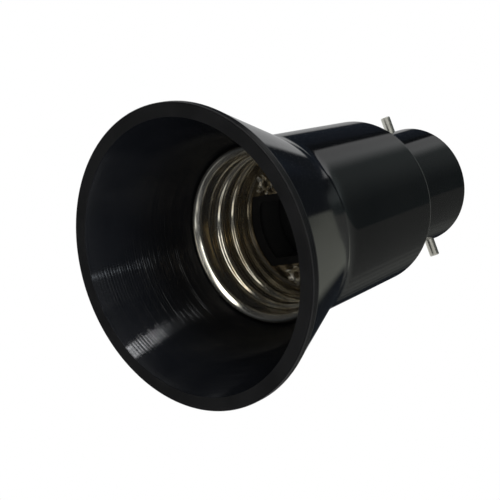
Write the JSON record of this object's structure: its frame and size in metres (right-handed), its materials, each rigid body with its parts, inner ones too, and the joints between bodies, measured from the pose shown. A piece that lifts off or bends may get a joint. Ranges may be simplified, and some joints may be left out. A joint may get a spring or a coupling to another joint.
{
  "type": "lamp socket adapter",
  "caption": "Black bell-shaped lamp socket adapter: a bayonet cap neck on one end and a screw lamp socket in the throat of a flared skirt on the other.",
  "frame": {"origin": "centre of the mouth rim, on the plane that the bell stands on", "axes": "+Z along the turning axis from the mouth to the bayonet neck, X through the bayonet pins"},
  "size_m": [0.0468, 0.0466, 0.072],
  "materials": {
    "black_gloss": "high-gloss black moulding, satin inside the bell",
    "black_base": "satin black moulding",
    "bright_nickel": "bright nickel plate, slightly warm",
    "rivet_nickel": "nickel plate",
    "spring_brass": "rolled spring strip",
    "pin_nickel": "drawn wire, nickel plated",
    "contact_brass": "turned",
    "tin_solder": "flowed solder",
    "blue_sleeve": "smooth insulation",
    "brown_sleeve": "smooth insulation",
    "copper_wire": "drawn wire, tinned"
  },
  "bodies": {
    "adapter": {"bayonet_pin_1": "pin_nickel", "bayonet_pin_2": "pin_nickel", "centre_contact_dome": "tin_solder", "centre_contact_foot": "spring_brass", "centre_end_contact": "contact_brass", "centre_lead_core": "copper_wire", "centre_lead_sleeve": "brown_sleeve", "centre_lead_solder": "tin_solder", "centre_rivet": "rivet_nickel", "housing": "black_gloss", "screw_shell": "bright_nickel", "shell_contact_dome": "tin_solder", "shell_end_contact": "contact_brass", "shell_lead_core": "copper_wire", "shell_lead_sleeve": "blue_sleeve", "shell_lead_solder": "tin_solder", "shell_rivet_1": "rivet_nickel", "shell_rivet_2": "rivet_nickel", "socket_base": "black_base"},
    "contact_tongue": {"centre_contact_tongue": "spring_brass"}
  },
  "joints": [
    {"name": "tongue_flex", "type": "hinge", "parent": "adapter", "child": "contact_tongue", "pos_m": [0.0013, -0.00276, 0.03529], "axis": [0.9848, 0.1736, 0], "range_deg": [0, 14], "stiffness_Nm_per_rad": 0.03}
  ]
}
